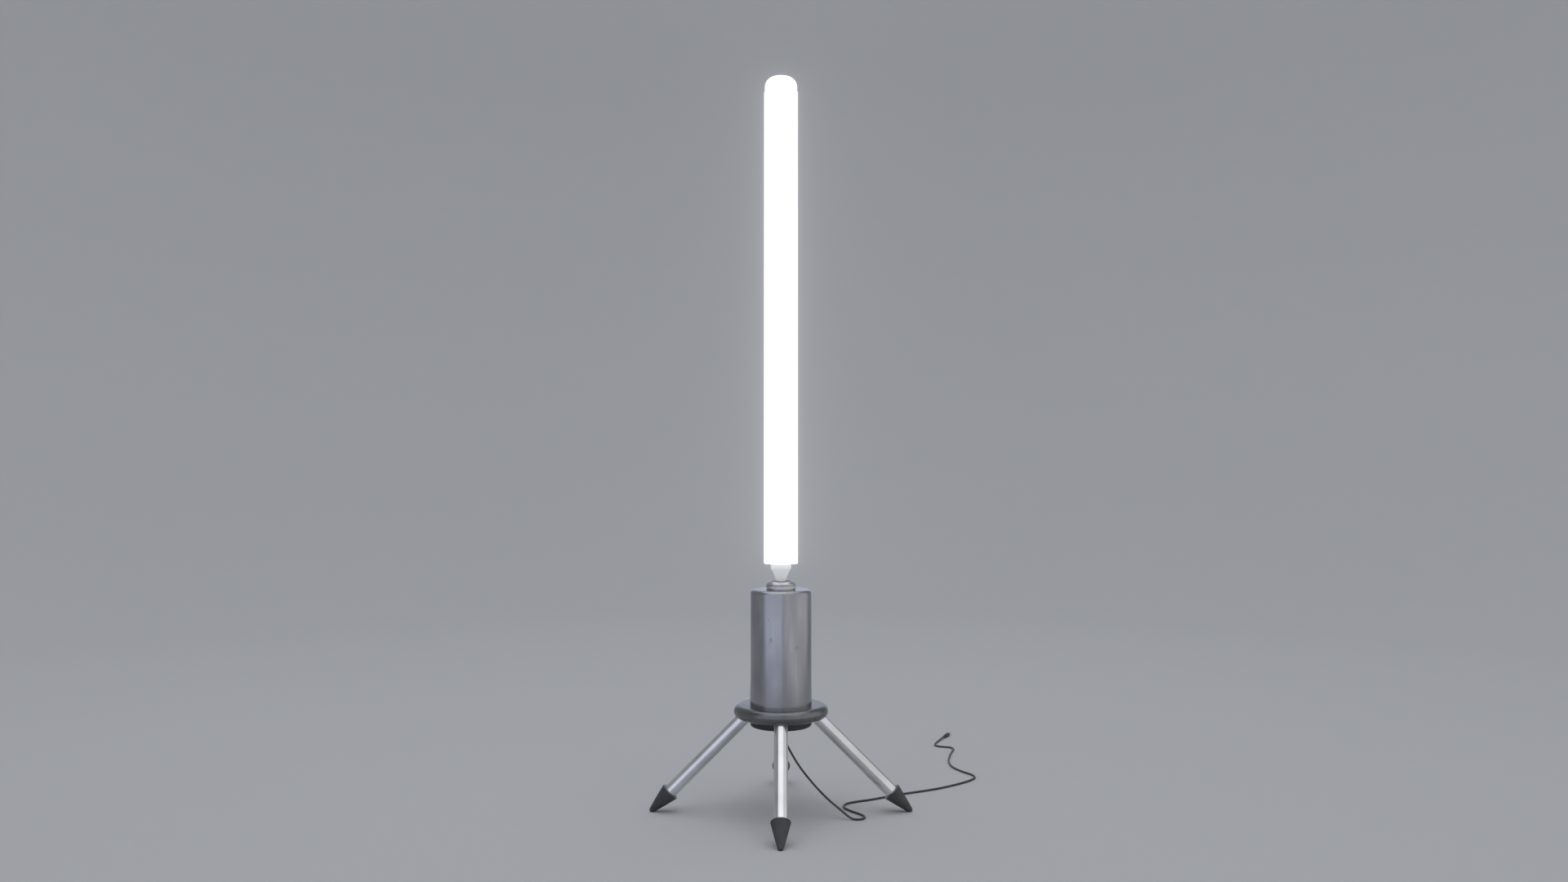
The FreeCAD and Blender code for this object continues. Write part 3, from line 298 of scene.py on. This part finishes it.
def foot_rubber():
    paint = Paint("foot_rubber", Specular_IOR_Level=0.6)
    wear = paint.noise(55.0, detail=2.0)
    polish = paint.range(wear, 0.35, 0.65, 0, 1)
    paint.colour(paint.between(polish, (0.040, 0.040, 0.042), (0.062, 0.062, 0.065)))
    paint.roughness(wear, 0.3, 0.7, 0.27, 0.36)
    paint.bump((paint.noise(2400.0), 0.00001))
    return paint.material


OPAL = opal("opal", 1.5)
OPAL_CAP = opal("opal_cap", 1.3)
NECK = neck_plastic()
CANISTER = canister_steel()
COLLAR = metal(
    "collar_steel", (0.46, 0.465, 0.475), (0.56, 0.565, 0.575), (0.24, 0.34), brushed=(0.4, 0.4, 30.0)
)
RING = metal("gunmetal", (0.14, 0.145, 0.15), (0.20, 0.205, 0.21), (0.22, 0.32), scale=40.0)
HUB = moulded("hub_black", (0.012, 0.012, 0.013), (0.024, 0.024, 0.026), 0.38)
CHROME = metal("chrome", (0.66, 0.67, 0.67), (0.78, 0.79, 0.80), (0.17, 0.27), scale=50.0)
STEEL = metal("zinc_steel", (0.48, 0.48, 0.49), (0.60, 0.60, 0.61), (0.28, 0.42))
BRASS = metal("brass", (0.62, 0.45, 0.18), (0.74, 0.57, 0.28), (0.20, 0.33))
ALUMINIUM = metal(
    "aluminium", (0.62, 0.63, 0.64), (0.72, 0.73, 0.74), (0.30, 0.42), brushed=(3.0, 3.0, 0.1)
)
WHITE = moulded("white_plastic", (0.72, 0.73, 0.74), (0.80, 0.81, 0.82), 0.42)
BLACK = moulded("black_plastic", (0.014, 0.014, 0.015), (0.034, 0.034, 0.036), 0.52)
BUTTON = moulded("button_plastic", (0.020, 0.020, 0.022), (0.036, 0.036, 0.040), 0.36)
BOARD = moulded("circuit_board", (0.66, 0.69, 0.66), (0.78, 0.80, 0.78), 0.40)
CHIP = moulded("led_chip", (0.90, 0.82, 0.48), (0.95, 0.90, 0.62), 0.30)
FERRITE = moulded("ferrite", (0.03, 0.03, 0.03), (0.07, 0.07, 0.07), 0.62)
SLEEVE = moulded("capacitor_sleeve", (0.03, 0.05, 0.13), (0.06, 0.08, 0.20), 0.34)
LINER = moulded("plug_liner", (0.70, 0.50, 0.06), (0.85, 0.65, 0.12), 0.45)
JACKET = moulded("cord_jacket", (0.030, 0.030, 0.032), (0.060, 0.060, 0.063), 0.40, grain=1500.0)
RUBBER = foot_rubber()

dress(OPAL, "diffuser_tube")
dress(OPAL_CAP, "diffuser_dome")
dress(NECK, "neck_funnel")
dress(WHITE, "tube_end_plate")
dress(
    BLACK, "dome_seal", "stem_insulator", "socket_body", "spine_foot", "spine_head", "terminal_block",
    "switch_body",
)
dress(BRASS, "stem_pin", "stem_nut", "socket_sleeve", "socket_contact")
dress(ALUMINIUM, "led_spine", "heat_sink")
dress(BOARD, "led_strip_front", "led_strip_right", "led_strip_back", "led_strip_left", "driver_board")
dress(CHIP, "led_chips")
dress(
    STEEL, "end_screws", "socket_screws", "board_screws", "board_brackets", "hub_screws", "tie_bolts",
    "ring_washer", "snap_ring", "button_spring", "ballast_weight", "gland_nut", "leg_studs", "lamp_stem",
)
dress(CANISTER, "canister_shell")
dress(COLLAR, "button_bezel")
dress(RING, "leg_ring")
dress(HUB, "hub_cover")
dress(CHROME, "leg_front", "leg_right", "leg_back", "leg_left", "plug_barrel")
dress(BUTTON, "power_button")
dress(FERRITE, "transformer")
dress(SLEEVE, "capacitors")
dress(JACKET, "cord_inner", "socket_wires", "strain_relief", "plug_grip")
dress(LINER, "plug_core")
cord.data.materials.append(JACKET)

# ---------------------------------------------------------------- knurled pieces

GROOVE_HALF = 0.4  # from a groove's bottom to the land beside it, as a share of the pitch
MERGE_WITHIN = 0.000002
SHARP_ANGLE = 50.0


def groove(pitches):
    """1 at the bottom of a groove, falling to 0 beside it; there is one groove to a pitch."""
    return max(0.0, 1.0 - abs(pitches - round(pitches)) / GROOVE_HALF)


def arc(middle, radius, start, end, steps=5):
    """(distance from the axis, height) points on an arc; 0 degrees is outward and 90 is up."""
    points = []
    for step in range(steps + 1):
        angle = math.radians(start + (end - start) * step / steps)
        points.append((middle[0] + radius * math.cos(angle), middle[1] + radius * math.sin(angle)))
    return points


def revolve(name, rings, segments, relief, place, closed):
    """A piece from (radius, height, knurl depth) rings.

    relief(turn, height) is the share of the knurl depth that is cut away there.
    """
    shape = bmesh.new()
    rows = []
    for radius, height, depth in rings:
        row = []
        for number in range(segments):
            turn = number / segments
            size = radius - (depth * relief(turn, height) if depth else 0.0)
            angle = 2.0 * math.pi * turn
            point = place @ Vector((size * math.cos(angle), size * math.sin(angle), height))
            point.z = max(point.z, 0.0)
            row.append(shape.verts.new(point))
        rows.append(row)
    pairs = list(zip(rows, rows[1:]))
    if closed:
        pairs.append((rows[-1], rows[0]))
    for lower, upper in pairs:
        for number in range(segments):
            after = (number + 1) % segments
            shape.faces.new((lower[number], lower[after], upper[after], upper[number]))
    bmesh.ops.remove_doubles(shape, verts=shape.verts, dist=MERGE_WITHIN)
    bmesh.ops.recalc_face_normals(shape, faces=shape.faces)
    mesh = bpy.data.meshes.new(name)
    shape.to_mesh(mesh)
    shape.free()
    mesh.shade_smooth()
    mesh.set_sharp_from_angle(angle=math.radians(SHARP_ANGLE))
    piece = bpy.data.objects.new(name, mesh)
    bpy.context.scene.collection.objects.link(piece)
    return piece


# ---------------------------------------------------------------- feet

FOOT_REACH = 0.159
FOOT_LENGTH = 0.0345
FOOT_RADIUS = 0.0113
FOOT_TIP = 0.0032
TIP_HEIGHT = 0.0021
TIP_STEPS = 6
FOOT_SWELL = 0.92  # below 1, the cone's side bulges a little
LEAN = 45.0  # degrees between a foot's axis and the vertical
RIM_BEAD = 0.0009
RIM_STEPS = 8
BEAD_INSET = 0.0005
CUP_RADIUS = 0.0085
CUP_DROP = 0.0002
BAND = 0.0022  # the plain band and the bead above the knurl
FOOT_AZIMUTHS = {"right": 0.0, "back": 90.0, "left": 180.0, "front": 270.0}
KNURL_COUNT = 28
KNURL_PITCH = 0.0025
KNURL_DEPTH = 0.0006
KNURL_LEAST = 0.45  # the share of its depth that the knurl has at the tip
FADE_LOW = 0.08  # shares of the knurled length over which it runs out
FADE_HIGH = 0.03
STEPS_PER_KNURL = 8


def foot_rings():
    """From the middle of the tip up to the inside of the rim."""
    rings = [(0.0, 0.0, 0.0)]
    for step in range(1, TIP_STEPS + 1):
        angle = math.radians(90.0 * step / TIP_STEPS)
        rings.append((FOOT_TIP * math.sin(angle), TIP_HEIGHT * (1.0 - math.cos(angle)), 0.0))
    length = FOOT_LENGTH - BAND - TIP_HEIGHT
    count = round(length / KNURL_PITCH * STEPS_PER_KNURL)
    for step in range(1, count + 1):
        share = step / count
        radius = FOOT_TIP + (FOOT_RADIUS - FOOT_TIP) * share**FOOT_SWELL
        fade = min(1.0, share / FADE_LOW, (1.0 - share) / FADE_HIGH)
        depth = KNURL_DEPTH * fade * (KNURL_LEAST + (1.0 - KNURL_LEAST) * share)
        rings.append((radius, TIP_HEIGHT + length * share, depth))
    rings.append((FOOT_RADIUS, FOOT_LENGTH - 2.0 * RIM_BEAD, 0.0))
    bead = arc((FOOT_RADIUS - BEAD_INSET, FOOT_LENGTH - RIM_BEAD), RIM_BEAD, -90.0, 90.0, RIM_STEPS)
    rings += [(*point, 0.0) for point in bead]
    rings.append((CUP_RADIUS, FOOT_LENGTH - CUP_DROP, 0.0))
    return rings


def diamonds(turn, height):
    """Two sets of spiral grooves that cross each other."""
    climb = height / KNURL_PITCH
    return max(groove(KNURL_COUNT * turn + climb), groove(KNURL_COUNT * turn - climb))


def make_foot(side, azimuth):
    """A rubber cone with a diamond knurl, in line with its leg and flat where it stands."""
    turn = Matrix.Rotation(math.radians(azimuth), 4, "Z")
    lean = Matrix.Rotation(math.radians(-LEAN), 4, "Y")
    place = turn @ Matrix.Translation((FOOT_REACH, 0.0, 0.0)) @ lean
    segments = KNURL_COUNT * STEPS_PER_KNURL
    foot = revolve(f"knurled_foot_{side}", foot_rings(), segments, diamonds, place, closed=False)
    foot.data.materials.append(RUBBER)
    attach(foot, "stand")
    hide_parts(f"foot_{side}")


for side, azimuth in FOOT_AZIMUTHS.items():
    make_foot(side, azimuth)

# ---------------------------------------------------------------- lock ring

COLLAR_RADIUS = 0.018
COLLAR_BEVEL = 0.0028
COLLAR_LOW = 0.2709
COLLAR_TOP = 0.2798
COLLAR_BORE = 0.01108
COLLAR_RECESS = 0.0126
RECESS_FLOOR = 0.2780
EDGE = 0.0003  # the radius that breaks each outer edge
FLUTE_COUNT = 96
FLUTE_DEPTH = 0.00022
FLUTE_LOW = 0.2720
FLUTE_HIGH = 0.2756
FLUTE_END = 0.0001  # the height over which a flute runs out
STEPS_PER_FLUTE = 6


def collar_rings():
    """Out along the underside, up the fluted side and the bevel, and down through the bore."""
    shoulder = COLLAR_TOP - COLLAR_BEVEL
    inner = COLLAR_RADIUS - COLLAR_BEVEL
    setback = EDGE * math.tan(math.radians(22.5))  # of the edge's arc from a 45 degree corner
    side = COLLAR_RADIUS - EDGE
    top = COLLAR_TOP - EDGE
    edges = [
        arc((side, COLLAR_LOW + EDGE), EDGE, -90.0, 0.0),
        arc((side, shoulder - setback), EDGE, 0.0, 45.0),
        arc((inner - setback, top), EDGE, 45.0, 90.0),
        arc((COLLAR_RECESS + EDGE, top), EDGE, 90.0, 180.0),
    ]
    below, *above = [[(*point, 0.0) for point in edge] for edge in edges]
    fluted = [
        (COLLAR_RADIUS, FLUTE_LOW - FLUTE_END, 0.0),
        (COLLAR_RADIUS, FLUTE_LOW, FLUTE_DEPTH),
        (COLLAR_RADIUS, FLUTE_HIGH, FLUTE_DEPTH),
        (COLLAR_RADIUS, FLUTE_HIGH + FLUTE_END, 0.0),
    ]
    bore = [(COLLAR_RECESS, RECESS_FLOOR, 0.0), (COLLAR_BORE, RECESS_FLOOR, 0.0)]
    return [(COLLAR_BORE, COLLAR_LOW, 0.0), *below, *fluted, *sum(above, []), *bore]


def flutes(turn, height):
    """Straight flutes, the same at every height."""
    return groove(FLUTE_COUNT * turn)


def make_collar():
    """The lock ring, with its edges broken and fine grip flutes round its side."""
    segments = FLUTE_COUNT * STEPS_PER_FLUTE
    collar = revolve("grip_collar", collar_rings(), segments, flutes, Matrix.Identity(4), closed=True)
    collar.data.materials.append(COLLAR)
    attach(collar, "lock_ring")
    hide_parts("lock_ring")


make_collar()

# ---------------------------------------------------------------- button spring


def make_button_spring():
    """The coil behind the push button, copied from its CAD node and carried by the stand."""
    coil = NODES["button_spring"]
    mesh = coil.data.copy()
    mesh.transform(coil.matrix_world)
    spring = bpy.data.objects.new("return_spring", mesh)
    bpy.context.scene.collection.objects.link(spring)
    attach(spring, "stand")
    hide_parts("button_spring")
    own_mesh(spring)


make_button_spring()

# ---------------------------------------------------------------- floor and lights

FLOOR_RADIUS = 2.2
FLOOR_HEIGHT = -0.0001  # just below the feet and the lead
FLOOR_SEGMENTS = 128
SWEEP_RADIUS = 2.4
SWEEP_STEPS = 16
WALL_TOP = 5.0
TOP_PLACE = (0.0, -0.2, 4.8)
TOP_AIM = (0.0, 0.0, 0.35)
TOP_SIZE = 6.4
PANEL_DISTANCE = 0.85
PANEL_HEIGHT = 1.3
NEUTRAL = (0.97, 0.98, 1.0)
COOL = (0.74, 0.80, 1.0)
WARM = (1.0, 0.97, 0.95)
DIM_SKY = (0.20, 0.205, 0.22, 1.0)


def pale_floor():
    paint = Paint("pale_floor", Roughness=0.7, Specular_IOR_Level=0.0)
    cloud = paint.noise(0.5, detail=2.0)
    paint.colour(paint.between(cloud, (0.595, 0.605, 0.62), (0.615, 0.625, 0.64)))
    paint.roughness(paint.noise(5.0), 0.3, 0.7, 0.66, 0.76)
    return paint.material


def make_floor():
    """A round studio floor that sweeps up into its wall all the way round."""
    outline = [(0.0, FLOOR_HEIGHT), (FLOOR_RADIUS, FLOOR_HEIGHT)]
    for step in range(1, SWEEP_STEPS + 1):
        angle = math.radians(90.0 * step / SWEEP_STEPS)
        outline.append(
            (FLOOR_RADIUS + SWEEP_RADIUS * math.sin(angle), SWEEP_RADIUS * (1.0 - math.cos(angle)))
        )
    outline.append((FLOOR_RADIUS + SWEEP_RADIUS, WALL_TOP))
    shape = bmesh.new()
    points = [shape.verts.new((radius, 0.0, height)) for radius, height in outline]
    edges = [shape.edges.new(pair) for pair in zip(points, points[1:])]
    bmesh.ops.spin(
        shape, geom=points + edges, cent=(0.0, 0.0, 0.0), axis=(0.0, 0.0, 1.0), angle=2.0 * math.pi,
        steps=FLOOR_SEGMENTS, use_merge=True,
    )
    bmesh.ops.remove_doubles(shape, verts=shape.verts, dist=0.0001)
    bmesh.ops.recalc_face_normals(shape, faces=shape.faces)
    for face in shape.faces:
        face.smooth = True
    mesh = bpy.data.meshes.new("floor")
    shape.to_mesh(mesh)
    shape.free()
    mesh.materials.append(pale_floor())
    floor = bpy.data.objects.new("floor", mesh)
    bpy.context.scene.collection.objects.link(floor)


def area_light(name, place, aim, size, radiance, colour):
    """A soft rectangle of light that the camera does not see; size is width and height."""
    data = bpy.data.lights.new(name, "AREA")
    data.shape = "RECTANGLE"
    data.size, data.size_y = size
    data.energy = radiance * size[0] * size[1] * math.pi
    data.color = colour
    light = bpy.data.objects.new(name, data)
    light.location = place
    light.rotation_euler = (Vector(place) - Vector(aim)).to_track_quat("Z", "Y").to_euler()
    light.visible_camera = False
    bpy.context.scene.collection.objects.link(light)
    return light


def reflector(name, azimuth, spread, radiance, colour):
    """A standing panel for the metal to reflect.

    The azimuth is counted from the front towards the right; the spread is the angle the panel fills.
    """
    turn = math.radians(azimuth)
    away = Vector((math.sin(turn), -math.cos(turn), 0.0)) * PANEL_DISTANCE
    middle = Vector((0.0, 0.0, PANEL_HEIGHT / 2))
    width = 2.0 * PANEL_DISTANCE * math.tan(math.radians(spread / 2))
    panel = area_light(name, middle + away, middle, (width, PANEL_HEIGHT), radiance, colour)
    panel.visible_diffuse = False


make_floor()
area_light("top", TOP_PLACE, TOP_AIM, (TOP_SIZE, TOP_SIZE), 0.95, NEUTRAL)
reflector("cool_front", -27.5, 67.0, 0.58, COOL)
reflector("warm_right", 63.0, 104.0, 0.46, WARM)
reflector("cool_back", 180.0, 46.0, 0.46, COOL)

world = bpy.data.worlds.new("studio")
world.use_nodes = True
world.node_tree.nodes["Background"].inputs["Color"].default_value = DIM_SKY
world.node_tree.nodes["Background"].inputs["Strength"].default_value = 1.0
bpy.context.scene.world = world
bpy.context.scene.view_settings.view_transform = "Standard"

# ---------------------------------------------------------------- glow

BLOOM_THRESHOLD = 1.0  # only what is brighter than white blooms
BLOOM_STRENGTH = 0.5
BLOOM_SIZE = 0.5


def glow():
    """The soft halo that the lit tube has in any camera."""
    scene = bpy.context.scene
    scene.use_nodes = True
    tree = scene.node_tree
    tree.nodes.clear()
    layers = tree.nodes.new("CompositorNodeRLayers")
    glare = tree.nodes.new("CompositorNodeGlare")
    output = tree.nodes.new("CompositorNodeComposite")
    glare.glare_type = "BLOOM"
    glare.inputs["Threshold"].default_value = BLOOM_THRESHOLD
    glare.inputs["Strength"].default_value = BLOOM_STRENGTH
    glare.inputs["Size"].default_value = BLOOM_SIZE
    tree.links.new(layers.outputs["Image"], glare.inputs["Image"])
    tree.links.new(glare.outputs["Image"], output.inputs["Image"])


glow()

# ---------------------------------------------------------------- final update

bpy.context.view_layer.update()
